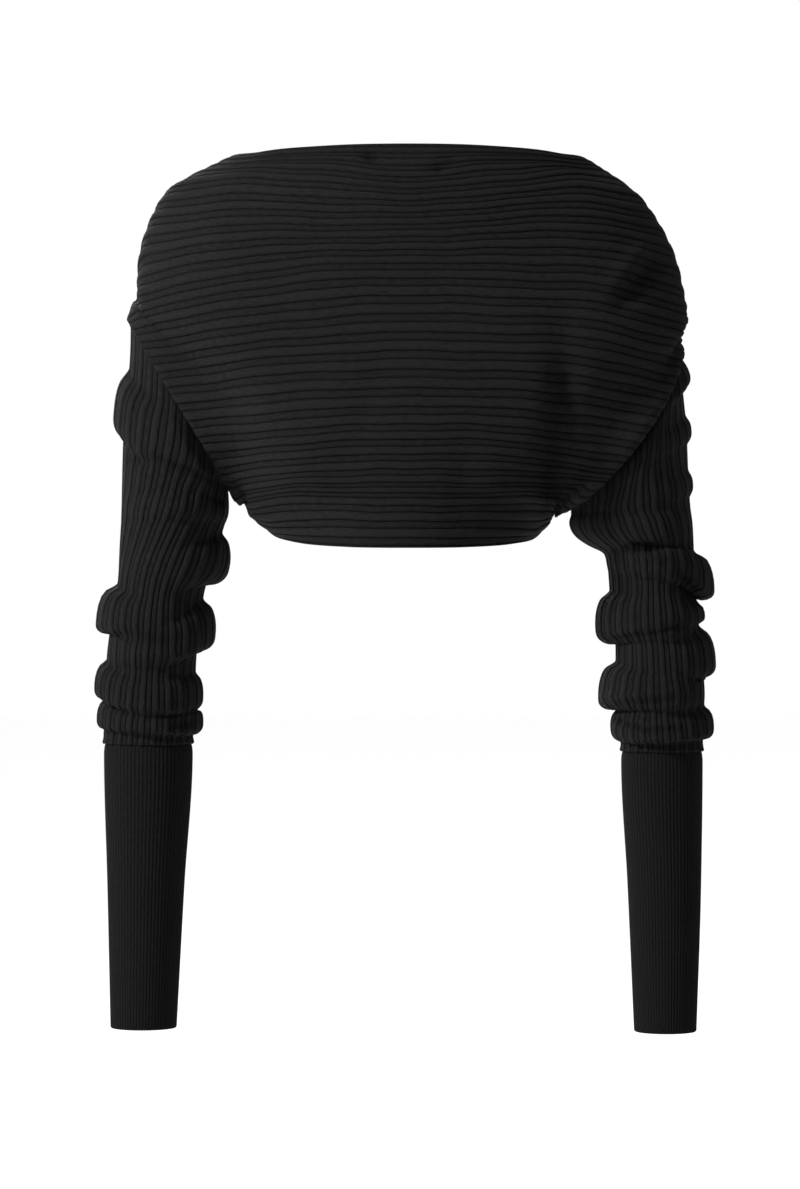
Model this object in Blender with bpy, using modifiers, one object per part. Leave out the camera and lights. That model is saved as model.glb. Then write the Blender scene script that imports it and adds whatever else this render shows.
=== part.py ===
"""Knitted shrug, worn form: one ribbed body panel, two slouched sleeves and two long cuffs.

The body is knitted sideways, so its ribs run from armhole to armhole across the back. It wraps over
the shoulders and under the arms, and stays open all down the front. Each piece is a thin knitted wall.

Frame: +X is the wearer's right, +Y the wearer's front, +Z up, metres. The origin is midway between
the tops of the wearer's shoulders, which hold the shrug up.
"""
import math
from collections import namedtuple

import bmesh
import bpy
from mathutils import Vector

# ---------------------------------------------------------------- driving dimensions
RIB_WALL = 0.0024          # thickness of the ribbed knit
CUFF_WALL = 0.0020         # thickness of the fine-ribbed cuffs
SEAM_GAP = 0.0003          # space kept between two pieces at a seam
SEAM_TUCK = 0.0045         # how far a piece runs on underneath the piece sewn over it
LAP_MARGIN = 0.0001        # spare room at the armhole seam for the facets
OPENING_GAP = 0.0024       # space between neck edge and hem where they meet in front of the arm

ARM_SIDES = 24             # facets round an armhole, so also mesh rows across the body panel
BODY_COLUMNS = 15          # mesh columns from the back's centre to one armhole
EDGE_STEPS = (0.0, 0.0050)     # distances from the armhole of the panel's last columns
SLEEVE_RINGS = 25          # mesh rings down a sleeve
CUFF_RINGS = 5             # mesh rings down a cuff
RIB_STEPS = 14             # steps of a rib's dense curve between two stations

# ---------------------------------------------------------------- the arms
# One armhole is a ring round the upper arm. Its highest point is on the arm's outer side and its
# lowest one under the arm. `bow` pushes its back half outwards and down. Ribs are counted across the
# panel from 0 at the neck edge to 1 at the hem: rib OUTER_RIB ends at the outer point, rib
# UNDERARM_RIB under the arm, and neck edge and hem meet MEET_ANGLE round the ring.
Armhole = namedtuple("Armhole", "side outer_x outer_z under_x under_z half_depth bow")
ARMHOLES = {
    "left": Armhole(-1, 0.2220, -0.1090, 0.1440, -0.2440, 0.056, 0.000),
    "right": Armhole(1, 0.2170, -0.1290, 0.1300, -0.2570, 0.056, 0.017),
}
BOW_SHARPNESS = 1.5        # how closely the bow keeps to the middle of the back
OUTER_RIB = 0.435
UNDERARM_RIB = 0.82
MEET_ANGLE = math.radians(230)

# ---------------------------------------------------------------- the body panel
# One row for each section along a rib. The rib starts at the centre of the back (back_y, back_z),
# turns at the shoulder or the side of the chest (turn_y, left_... or right_...), and swells forwards
# by `front` before the armhole.
Rib = namedtuple("Rib", "across back_y back_z turn_y left_x left_z right_x right_z front")
RIBS = [
    Rib(0.000, -0.072, 0.0250, 0.010, 0.150, 0.0160, 0.150, 0.0140, 0.034),
    Rib(0.130, -0.088, -0.0080, -0.006, 0.198, -0.012, 0.191, -0.017, 0.024),
    Rib(0.310, -0.101, -0.0568, -0.018, 0.2145, -0.064, 0.2165, -0.071, 0.004),
    Rib(0.435, -0.106, -0.0990, -0.040, 0.2110, -0.094, 0.2205, -0.109, 0.000),
    Rib(0.640, -0.110, -0.1783, -0.072, 0.140, -0.178, 0.155, -0.184, 0.000),
    Rib(0.820, -0.108, -0.2430, -0.055, 0.122, -0.247, 0.115, -0.253, 0.000),
    Rib(0.900, -0.106, -0.2555, -0.030, 0.124, -0.266, 0.113, -0.269, 0.003),
    Rib(1.000, -0.100, -0.2912, 0.002, 0.114, -0.276, 0.106, -0.280, 0.008),
]
BLADE_STATIONS = ((0.42, 0.10, 0.04), (0.78, 0.40, 0.27))   # share of turn x, y and z on the way there
ARRIVAL = 0.014            # length of the straight run into the armhole
ARRIVAL_SPLAY = 0.3        # how far that run heads backwards at the ring's back and forwards at its front

# How the panel's edge goes round an armhole: the climb of the ribs as they come in to it, in degrees,
# and how far the edge puffs out over the sleeve.
Edge = namedtuple("Edge", "angle left_climb right_climb left_puff right_puff")
EDGES = [Edge(-130, -6, -6, 0.001, 0.001), Edge(-90, -25, -25, 0.001, 0.001), Edge(0, -72, -72, 0.001, 0.001),
         Edge(60, -34, -34, 0.001, 0.006), Edge(125, -4, -10, 0.003, 0.007), Edge(180, 58, 42, 0.001, 0.0),
         Edge(230, 14, 6, 0.0, 0.0)]
PUFF_REACH = 0.030         # how far in from the edge the puff runs
LIFT_REACH = 0.080         # how far in the panel's lift over the sleeve's tucked band runs out

# ---------------------------------------------------------------- the sleeves
# One row for each section down the arm: the outer and inner edges and half the depth.
Section = namedtuple("Section", "z outer inner half_depth")
SLEEVES = {
    "left": [
        Section(-0.060, 0.2190, 0.1450, 0.0560), Section(-0.160, 0.2250, 0.1450, 0.0550),
        Section(-0.204, 0.2280, 0.1450, 0.0520), Section(-0.252, 0.2290, 0.1455, 0.0490),
        Section(-0.276, 0.2300, 0.1485, 0.0475), Section(-0.328, 0.2330, 0.1630, 0.0440),
        Section(-0.364, 0.2390, 0.1680, 0.0420), Section(-0.388, 0.2415, 0.1695, 0.0405),
        Section(-0.450, 0.2435, 0.1710, 0.0370)],
    "right": [
        Section(-0.060, 0.2200, 0.1310, 0.0560), Section(-0.200, 0.2230, 0.1310, 0.0550),
        Section(-0.258, 0.2260, 0.1310, 0.0520), Section(-0.270, 0.2275, 0.1400, 0.0500),
        Section(-0.286, 0.2285, 0.1550, 0.0480), Section(-0.300, 0.2290, 0.1590, 0.0470),
        Section(-0.345, 0.2320, 0.1625, 0.0440), Section(-0.372, 0.2345, 0.1660, 0.0420),
        Section(-0.410, 0.2370, 0.1660, 0.0400), Section(-0.456, 0.2370, 0.1700, 0.0360)],
}

# One row for each slouch fold. It rings the arm at the heights given for its four sides, stands out
# by the reach given for each, and hangs down over what lies below it by `droop` of that reach.
Fold = namedtuple("Fold", "z_outer z_back z_inner z_front outer back inner front half_height droop")
FOLDS = {
    "left": [
        Fold(-0.182, -0.212, -0.236, -0.205, 0.0100, 0.0060, 0.0040, 0.0060, 0.026, 1.0),
        Fold(-0.258, -0.260, -0.262, -0.255, 0.0000, 0.0032, 0.0012, 0.0030, 0.011, 0.7),
        Fold(-0.306, -0.309, -0.308, -0.303, 0.0000, 0.0012, 0.0110, 0.0050, 0.018, 1.1),
        Fold(-0.350, -0.350, -0.350, -0.350, 0.0160, 0.0030, 0.0000, 0.0070, 0.0155, 1.0),
        Fold(-0.368, -0.372, -0.361, -0.364, 0.0005, 0.0048, 0.0125, 0.0060, 0.018, 1.0),
        Fold(-0.402, -0.413, -0.410, -0.407, 0.0095, 0.0042, 0.0065, 0.0070, 0.014, 1.0),
        Fold(-0.427, -0.436, -0.431, -0.430, 0.0065, 0.0030, 0.0070, 0.0060, 0.012, 0.8),
    ],
    "right": [
        Fold(-0.152, -0.175, -0.215, -0.190, 0.0075, 0.0018, 0.0010, 0.0050, 0.015, 0.3),
        Fold(-0.197, -0.215, -0.235, -0.225, 0.0040, 0.0008, 0.0010, 0.0050, 0.012, 0.3),
        Fold(-0.240, -0.250, -0.255, -0.250, 0.0035, 0.0005, 0.0000, 0.0040, 0.011, 0.3),
        Fold(-0.270, -0.280, -0.281, -0.280, 0.0000, 0.0048, 0.0045, 0.0030, 0.014, 1.0),
        Fold(-0.324, -0.305, -0.296, -0.314, 0.0160, 0.0052, 0.0005, 0.0080, 0.0145, 1.0),
        Fold(-0.345, -0.343, -0.342, -0.343, 0.0060, 0.0004, 0.0000, 0.0020, 0.008, 0.6),
        Fold(-0.346, -0.351, -0.356, -0.352, 0.0000, 0.0048, 0.0125, 0.0070, 0.018, 1.1),
        Fold(-0.382, -0.381, -0.380, -0.386, 0.0120, 0.0012, 0.0000, 0.0080, 0.018, 1.0),
        Fold(-0.404, -0.409, -0.411, -0.413, 0.0005, 0.0056, 0.0140, 0.0070, 0.015, 1.1),
        Fold(-0.435, -0.441, -0.436, -0.438, 0.0080, 0.0045, 0.0055, 0.0070, 0.012, 0.9),
    ],
}
ROLL_UNDER = 0.35          # how far below its crest a fold hangs lowest, in half heights
SLEEVE_END = {"left": -0.4460, "right": -0.4520}
SLEEVE_OPENING = 0.22      # share of the sleeve's length over which it leaves the armhole's shape
SEAM_EASE = 0.07           # share of it that the folds keep clear of the armhole seam
SLEEVE_CLOSING = 0.05      # share of it over which its end draws in to the cuff
CLOSED_BY = 0.6            # share of that stretch by which it lies against the cuff
TUCK_INSET = 0.0020        # how much the tucked end of the sleeve draws in

# ---------------------------------------------------------------- the cuffs
CUFFS = {
    "left": [Section(-0.442, 0.2410, 0.1744, 0.0303), Section(-0.454, 0.2432, 0.1722, 0.0325),
             Section(-0.560, 0.2405, 0.1788, 0.0290), Section(-0.6735, 0.2380, 0.1850, 0.0250)],
    "right": [Section(-0.448, 0.2335, 0.1727, 0.0288), Section(-0.460, 0.2357, 0.1705, 0.0310),
              Section(-0.560, 0.2345, 0.1756, 0.0280), Section(-0.6765, 0.2308, 0.1808, 0.0245)],
}

# ---------------------------------------------------------------- finishes
INK = (0.012, 0.012, 0.014)
CUFF_INK = (0.009, 0.009, 0.011)


# ---------------------------------------------------------------- smooth readings of the tables
def hermite(p0, p1, m0, m1, t):
    """Cubic from p0 to p1 with end slopes m0 and m1, for numbers and vectors alike."""
    t2, t3 = t * t, t * t * t
    return (p0 * (2 * t3 - 3 * t2 + 1) + m0 * (t3 - 2 * t2 + t)
            + p1 * (3 * t2 - 2 * t3) + m1 * (t3 - t2))


def smooth(t):
    """Ease from 0 at t = 0 to 1 at t = 1."""
    t = min(max(t, 0.0), 1.0)
    return t * t * (3 - 2 * t)


def read(rows, key, column, at):
    """Value of a column at a place along the key column, by a smooth curve through the rows."""
    keys = [getattr(row, key) for row in rows]
    values = [getattr(row, column) for row in rows]
    if keys[0] > keys[-1]:
        keys, values = keys[::-1], values[::-1]
    at = min(max(at, keys[0]), keys[-1])
    last = len(keys) - 2
    i = next((n for n in range(last + 1) if at <= keys[n + 1]), last)

    def slope(n):
        if 0 < n < len(keys) - 1:
            before = (values[n] - values[n - 1]) / (keys[n] - keys[n - 1])
            after = (values[n + 1] - values[n]) / (keys[n + 1] - keys[n])
            return 0.0 if before * after <= 0 else 2 * before * after / (before + after)
        near = (n, n + 1) if n == 0 else (n - 1, n)
        return (values[near[1]] - values[near[0]]) / (keys[near[1]] - keys[near[0]])

    width = keys[i + 1] - keys[i]
    return hermite(values[i], values[i + 1], slope(i) * width, slope(i + 1) * width,
                   (at - keys[i]) / width)


def round_arm(fold, prefix, angle):
    """Blend a fold's four side values at an angle round the arm: outer 0, back 90, inner 180."""
    sides = [getattr(fold, prefix + name) for name in ("outer", "back", "inner", "front")]
    turn = (angle / (math.pi / 2)) % 4
    first = int(turn) % 4
    return sides[first] + (sides[(first + 1) % 4] - sides[first]) * smooth(turn - int(turn))


# ---------------------------------------------------------------- armhole
def armhole_point(armhole, angle):
    """Point on the armhole ring: angle 0 is its outer top, 90 degrees its back, 180 under the arm."""
    outer = Vector((armhole.outer_x, 0, armhole.outer_z))
    under = Vector((armhole.under_x, 0, armhole.under_z))
    middle, reach = (outer + under) / 2, (outer - under) / 2
    sideways = Vector((-reach.z, 0, reach.x)).normalized() * -armhole.bow
    back = max(math.sin(angle), 0.0)
    point = middle + reach * math.cos(angle) + sideways * back ** BOW_SHARPNESS
    point.y = -armhole.half_depth * math.sin(angle)
    point.x *= armhole.side
    return point


def arm_outward(armhole, angle):
    """Level direction straight out from the arm."""
    return Vector((armhole.side * math.cos(angle), -math.sin(angle), 0))


def row_angle(row):
    """Angle round the armhole where a row of the body panel ends."""
    angle = MEET_ANGLE - 2 * math.pi + 2 * math.pi * row / ARM_SIDES
    half_gap = OPENING_GAP / 2 / ARMHOLES["left"].half_depth
    return min(max(angle, MEET_ANGLE - 2 * math.pi + half_gap), MEET_ANGLE - half_gap)


def rib_across(angle):
    """Place across the panel of the rib that ends at an angle round the armhole."""
    if angle < 0:
        return OUTER_RIB * (1 + angle / (2 * math.pi - MEET_ANGLE))
    if angle < math.pi:
        return OUTER_RIB + (UNDERARM_RIB - OUTER_RIB) * angle / math.pi
    return UNDERARM_RIB + (1 - UNDERARM_RIB) * (angle - math.pi) / (MEET_ANGLE - math.pi)


# ---------------------------------------------------------------- body panel
def rib_stations(name, angle):
    """The points that half a rib runs through, from the centre of the back to the armhole."""
    armhole = ARMHOLES[name]
    across = rib_across(angle)
    value = {column: read(RIBS, "across", column, across) for column in Rib._fields[1:]}
    centre = Vector((0, value["back_y"], value["back_z"]))
    turn = Vector((value[name + "_x"] * armhole.side, value["turn_y"], value[name + "_z"]))
    end = armhole_point(armhole, angle)
    climb = math.radians(read(EDGES, "angle", f"{name}_climb", math.degrees(angle)))
    heading = Vector((armhole.side * math.cos(climb), ARRIVAL_SPLAY * math.sin(angle), math.sin(climb)))
    arrival = end - heading.normalized() * ARRIVAL
    front = (turn + arrival) / 2 + Vector((0, value["front"], 0))
    stations = [centre]
    for share_x, share_y, share_z in BLADE_STATIONS:
        stations.append(Vector((turn.x * share_x, centre.y + (turn.y - centre.y) * share_y,
                                centre.z + (turn.z - centre.z) * share_z)))
    return stations + [turn, front, arrival, end]


def rib_curve(name, angle):
    """Dense smooth curve through the stations of the rib that ends at an angle of the armhole."""
    stations = rib_stations(name, angle)
    knots = [0.0]
    for a, b in zip(stations, stations[1:]):
        knots.append(knots[-1] + math.sqrt((b - a).length))
    slopes = [Vector((stations[1].x, 0, 0)) / knots[1]]
    for n in range(1, len(stations) - 1):
        before = (stations[n] - stations[n - 1]) / (knots[n] - knots[n - 1])
        after = (stations[n + 1] - stations[n]) / (knots[n + 1] - knots[n])
        middle = (stations[n + 1] - stations[n - 1]) / (knots[n + 1] - knots[n - 1])
        slopes.append(before + after - middle)
    slopes.append((stations[-1] - stations[-2]) / (knots[-1] - knots[-2]))
    curve = [stations[0]]
    for n in range(len(stations) - 1):
        width = knots[n + 1] - knots[n]
        for k in range(1, RIB_STEPS + 1):
            curve.append(hermite(stations[n], stations[n + 1], slopes[n] * width,
                                 slopes[n + 1] * width, k / RIB_STEPS))
    return curve


def spaced(curve, shares):
    """Points at the given shares of a curve's length."""
    lengths = [0.0]
    for a, b in zip(curve, curve[1:]):
        lengths.append(lengths[-1] + (b - a).length)
    points, n = [], 0
    for share in shares:
        goal = share * lengths[-1]
        while n < len(curve) - 2 and lengths[n + 1] < goal:
            n += 1
        part = (goal - lengths[n]) / max(lengths[n + 1] - lengths[n], 1e-9)
        points.append(curve[n].lerp(curve[n + 1], part))
    return points


def rib_distances(length):
    """Distances from the armhole at which the panel's columns cross a rib, the far end first."""
    inner = EDGE_STEPS[-1]
    even = [length - (length - inner) * k / BODY_COLUMNS for k in range(BODY_COLUMNS)]
    return even + list(reversed(EDGE_STEPS))


def half_body(name):
    """Grid of points, one list for each row, from the centre of the back to one armhole."""
    grid, distances = [], []
    for row in range(ARM_SIDES + 1):
        curve = rib_curve(name, row_angle(row))
        length = sum((b - a).length for a, b in zip(curve, curve[1:]))
        line = rib_distances(length)
        grid.append(spaced(curve, [1 - distance / length for distance in line]))
        distances.append(line)
    return grid, distances


def grid_normals(grid, side):
    """Outward normals of a half-body grid."""
    rows, columns = len(grid), len(grid[0])
    normals = []
    for j in range(rows):
        line = []
        for k in range(columns):
            along = grid[j][min(k + 1, columns - 1)] - grid[j][max(k - 1, 0)]
            down = grid[min(j + 1, rows - 1)][k] - grid[max(j - 1, 0)][k]
            line.append((down.cross(along) * side).normalized())
        normals.append(line)
    return normals


def raise_edge(name, grid, distances):
    """Lift the panel over the sleeve's tucked band at the armhole, and puff it out behind the edge."""
    armhole = ARMHOLES[name]
    normals = grid_normals(grid, armhole.side)
    for row, line in enumerate(grid):
        angle = row_angle(row)
        outward = arm_outward(armhole, angle)
        overlap = max(normals[row][-1].dot(outward), 0)
        lift = outward * (SEAM_GAP + LAP_MARGIN + RIB_WALL * overlap)
        puff = read(EDGES, "angle", f"{name}_puff", math.degrees(angle))
        for k, point in enumerate(line):
            near = 1 - smooth(distances[row][k] / LIFT_REACH)
            swell = distances[row][k] / PUFF_REACH
            bulge = puff * math.sin(math.pi * math.sqrt(swell)) if swell < 1 else 0
            line[k] = point + lift * near + normals[row][k] * bulge
    return grid


def body_grid():
    """The whole panel: rows from neck edge to hem, columns from the left armhole to the right."""
    halves = {name: raise_edge(name, *half_body(name)) for name in ARMHOLES}
    return [list(reversed(left)) + right[1:] for left, right in zip(halves["left"], halves["right"])]


# ---------------------------------------------------------------- sleeves and cuffs
def tube_point(rows, side, z, angle, grow=0.0):
    """Point on an arm tube at a height; `grow` moves it outwards."""
    outer, inner = read(rows, "z", "outer", z), read(rows, "z", "inner", z)
    half_width, half_depth = (outer - inner) / 2 + grow, read(rows, "z", "half_depth", z) + grow
    return Vector((side * ((outer + inner) / 2 + half_width * math.cos(angle)),
                   -half_depth * math.sin(angle), z))


def slouched(folds, side, point, z, angle):
    """Move a point of the smooth sleeve by the folds that cross it."""
    outward = Vector((side * math.cos(angle), -math.sin(angle), 0))
    for fold in folds:
        reach = round_arm(fold, "", angle)
        crest = round_arm(fold, "z_", angle) + fold.droop * reach
        height = (z - crest) / fold.half_height
        lift, sink = (reach * (1 - min(abs(h), 1) ** 3) ** 2 for h in (height, height + ROLL_UNDER))
        point = point + outward * lift - Vector((0, 0, fold.droop * sink))
    return point


def sleeve_point(name, share, angle):
    """Point on a sleeve: share 0 is the armhole seam and 1 the sleeve's lower edge."""
    armhole, rows = ARMHOLES[name], SLEEVES[name]
    seam = armhole_point(armhole, angle)
    if share < 0:
        return seam - arm_outward(armhole, angle) * TUCK_INSET + Vector((0, 0, SEAM_TUCK))
    z = seam.z + (SLEEVE_END[name] - seam.z) * share
    tube = tube_point(rows, armhole.side, z, angle)
    start = Vector((seam.x, seam.y, z))
    point = start.lerp(tube, smooth(share / SLEEVE_OPENING))
    folded = slouched(FOLDS[name], armhole.side, point, z, angle)
    point = point.lerp(folded, smooth(share / SEAM_EASE))
    closing = smooth((share - 1 + SLEEVE_CLOSING) / (SLEEVE_CLOSING * CLOSED_BY))
    over_cuff = tube_point(CUFFS[name], armhole.side, z, angle, grow=RIB_WALL + SEAM_GAP)
    return point.lerp(over_cuff, closing)


def sleeve_rings(name):
    """Rings of a sleeve from the band tucked under the body panel down to its lower edge."""
    angles = [MEET_ANGLE + 2 * math.pi * k / ARM_SIDES for k in range(ARM_SIDES)]
    even = [n / SLEEVE_RINGS for n in range(SLEEVE_RINGS)]
    shares = [-1.0] + even + [1 - SLEEVE_CLOSING * (1 - CLOSED_BY), 1.0]
    return [[sleeve_point(name, share, angle) for angle in angles] for share in shares]


def cuff_rings(name):
    """Rings of a cuff from the band tucked into the sleeve down to its open end."""
    rows = CUFFS[name]
    top, bottom = rows[0].z, rows[-1].z
    angles = [MEET_ANGLE + 2 * math.pi * k / ARM_SIDES for k in range(ARM_SIDES)]
    heights = [top + (bottom - top) * n / CUFF_RINGS for n in range(CUFF_RINGS + 1)]
    return [[tube_point(rows, ARMHOLES[name].side, z, angle) for angle in angles] for z in heights]


# ---------------------------------------------------------------- objects
def knit_material(name, colour, roughness):
    material = bpy.data.materials.new(name)
    material.use_nodes = True
    shader = material.node_tree.nodes["Principled BSDF"]
    shader.inputs["Base Color"].default_value = (*colour, 1)
    shader.inputs["Roughness"].default_value = roughness
    shader.inputs["Metallic"].default_value = 0
    return material


def knit_piece(name, rows, closed, flip, wall, material, collection):
    """A knitted wall: the open surface through the rows of points, thickened inwards.

    Each cell splits into two triangles, along mirrored diagonals on the wearer's left and right.
    """
    mesh = bmesh.new()
    verts = [[mesh.verts.new(point) for point in row] for row in rows]
    count = len(rows[0])
    for upper, lower in zip(verts, verts[1:]):
        for k in range(count if closed else count - 1):
            after = (k + 1) % count
            cell = [upper[k], lower[k], lower[after], upper[after]]
            if not closed and k < count // 2:
                cell = cell[1:] + cell[:1]
            for corners in (cell[:3], [cell[0], *cell[2:]]):
                mesh.faces.new(corners[::-1] if flip else corners)
    data = bpy.data.meshes.new(name)
    mesh.to_mesh(data)
    mesh.free()
    data.materials.append(material)
    data.shade_smooth()
    piece = bpy.data.objects.new(name, data)
    collection.objects.link(piece)
    solidify = piece.modifiers.new("wall", "SOLIDIFY")
    solidify.thickness = wall
    solidify.offset = -1
    solidify.use_even_offset = False
    return piece


def build():
    for old in list(bpy.data.objects):
        bpy.data.objects.remove(old)
    shrug = bpy.data.collections.new("knitted_shrug")
    bpy.context.scene.collection.children.link(shrug)
    rib_knit = knit_material("rib_knit", INK, 0.9)
    cuff_knit = knit_material("cuff_knit", CUFF_INK, 0.88)
    knit_piece("body_panel", body_grid(), False, False, RIB_WALL, rib_knit, shrug)
    for name, armhole in ARMHOLES.items():
        flip = armhole.side > 0
        knit_piece(f"sleeve_{name}", sleeve_rings(name), True, flip, RIB_WALL, rib_knit, shrug)
        knit_piece(f"cuff_{name}", cuff_rings(name), True, flip, CUFF_WALL, cuff_knit, shrug)


build()
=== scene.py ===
"""Looks of the knitted shrug: every piece rebuilt as ribbed knit on the shape its CAD node holds.

Frame: +X is the wearer's right, +Y the wearer's front, +Z up, metres. The camera looks along +Y at the back.
"""
import math
from collections import namedtuple

import bpy
import numpy as np
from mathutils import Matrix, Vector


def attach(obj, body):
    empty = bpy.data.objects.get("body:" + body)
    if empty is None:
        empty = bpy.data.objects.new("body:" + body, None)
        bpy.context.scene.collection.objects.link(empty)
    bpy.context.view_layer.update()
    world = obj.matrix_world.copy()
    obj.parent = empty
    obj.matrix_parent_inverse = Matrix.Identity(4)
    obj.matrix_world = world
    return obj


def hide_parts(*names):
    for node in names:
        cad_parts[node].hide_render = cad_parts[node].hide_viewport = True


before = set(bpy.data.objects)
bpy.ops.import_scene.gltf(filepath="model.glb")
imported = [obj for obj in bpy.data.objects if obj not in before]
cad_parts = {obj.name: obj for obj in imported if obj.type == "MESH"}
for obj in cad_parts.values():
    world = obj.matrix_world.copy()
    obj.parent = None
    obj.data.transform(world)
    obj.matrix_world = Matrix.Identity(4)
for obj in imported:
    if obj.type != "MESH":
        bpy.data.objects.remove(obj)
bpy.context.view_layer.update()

# ---------------------------------------------------------------- walls and seams
RIB_WALL = 0.0024
CUFF_WALL = 0.0020
SEAM_GAP = 0.0003          # between two pieces that lie on each other
SEAM_TUCK = 0.0045         # how far up a sleeve's band goes behind the panel's edge
BACK_TUCK = {"left": 0.0015, "right": 0.0080}   # how much further in it goes at the back
LAP_MARGIN = 0.0001
OPENING_GAP = 0.0024       # between the neck edge and the hem where they meet
RIB_STEPS = 14             # points between two stations of a rib's curve
TINY = 1e-12

# ---------------------------------------------------------------- the arms
Armhole = namedtuple("Armhole", "side outer_x outer_z under_x under_z half_depth bow")
ARMHOLES = {
    "left": Armhole(-1, 0.2220, -0.1090, 0.1440, -0.2440, 0.056, 0.000),
    "right": Armhole(1, 0.2170, -0.1290, 0.1300, -0.2570, 0.056, 0.017),
}
BOW_SHARPNESS = 1.5                # how soon the bow fades away from the middle of the back
OUTER_RIB = 0.435                  # place across the panel of the rib that ends at the armhole's outer end
UNDERARM_RIB = 0.82                # and of the rib that ends at the underarm
MEET_ANGLE = math.radians(230)     # angle round the armhole where neck edge and hem meet

# ---------------------------------------------------------------- the body panel
# Ribs of the panel, from the neck edge (0) to the hem (1): where each one crosses the centre line of the
# back, where it turns forward on either side, and how far it swells forward from there to the armhole.
Rib = namedtuple("Rib", "across back_y back_z turn_y left_x left_z right_x right_z front")
RIBS = [
    Rib(0.000, -0.072, 0.0250, 0.010, 0.150, 0.0160, 0.150, 0.0140, 0.034),
    Rib(0.130, -0.088, -0.0080, -0.006, 0.198, -0.012, 0.191, -0.017, 0.024),
    Rib(0.310, -0.101, -0.0568, -0.018, 0.2145, -0.064, 0.2165, -0.071, 0.004),
    Rib(0.435, -0.106, -0.0990, -0.040, 0.2110, -0.094, 0.2205, -0.109, 0.000),
    Rib(0.640, -0.110, -0.1783, -0.072, 0.140, -0.178, 0.155, -0.184, 0.000),
    Rib(0.820, -0.108, -0.2430, -0.055, 0.122, -0.247, 0.115, -0.253, 0.000),
    Rib(0.900, -0.106, -0.2555, -0.030, 0.124, -0.266, 0.113, -0.269, 0.003),
    Rib(1.000, -0.100, -0.2912, 0.002, 0.114, -0.276, 0.106, -0.280, 0.008),
]
# Points over the shoulder blade, as shares of the way from the centre line to where a rib turns.
Station = namedtuple("Station", "share_x share_y share_z")
BLADE_STATIONS = [Station(0.42, 0.10, 0.04), Station(0.78, 0.40, 0.27)]
ARRIVAL = 0.014            # how far before the armhole a rib takes its last heading
ARRIVAL_SPLAY = 0.3        # how much that heading turns to the back or to the front

# How steeply ribs arrive round the armhole, in degrees, and how far the panel puffs out behind its edge.
Edge = namedtuple("Edge", "angle left_climb right_climb left_puff right_puff")
EDGES = [
    Edge(-130, -6, -6, 0.001, 0.001), Edge(-90, -25, -25, 0.001, 0.001),
    Edge(0, -72, -72, 0.001, 0.001), Edge(60, -34, -34, 0.001, 0.006),
    Edge(125, -4, -10, 0.003, 0.007), Edge(180, 58, 42, 0.001, 0.0),
    Edge(230, 14, 6, 0.0, 0.0),
]
PUFF_REACH = 0.030         # how far from the armhole's edge the puff ends
LIFT_REACH = 0.080         # and the lift over the sleeve's band

# ---------------------------------------------------------------- the sleeves
# Oval of an arm at a height: its outer and inner sides and half its depth.
Section = namedtuple("Section", "z outer inner half_depth")
SLEEVES = {
    "left": [
        Section(-0.060, 0.2190, 0.1450, 0.0560), Section(-0.160, 0.2250, 0.1450, 0.0550),
        Section(-0.204, 0.2280, 0.1450, 0.0520), Section(-0.252, 0.2290, 0.1455, 0.0490),
        Section(-0.276, 0.2300, 0.1485, 0.0475), Section(-0.328, 0.2330, 0.1630, 0.0440),
        Section(-0.364, 0.2390, 0.1680, 0.0420), Section(-0.388, 0.2415, 0.1695, 0.0405),
        Section(-0.450, 0.2435, 0.1710, 0.0370)],
    "right": [
        Section(-0.060, 0.2200, 0.1310, 0.0560), Section(-0.200, 0.2230, 0.1310, 0.0550),
        Section(-0.258, 0.2260, 0.1310, 0.0520), Section(-0.270, 0.2275, 0.1400, 0.0500),
        Section(-0.286, 0.2285, 0.1550, 0.0480), Section(-0.300, 0.2290, 0.1590, 0.0470),
        Section(-0.345, 0.2320, 0.1625, 0.0440), Section(-0.372, 0.2345, 0.1660, 0.0420),
        Section(-0.410, 0.2370, 0.1660, 0.0400), Section(-0.456, 0.2370, 0.1700, 0.0360)],
}
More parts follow.
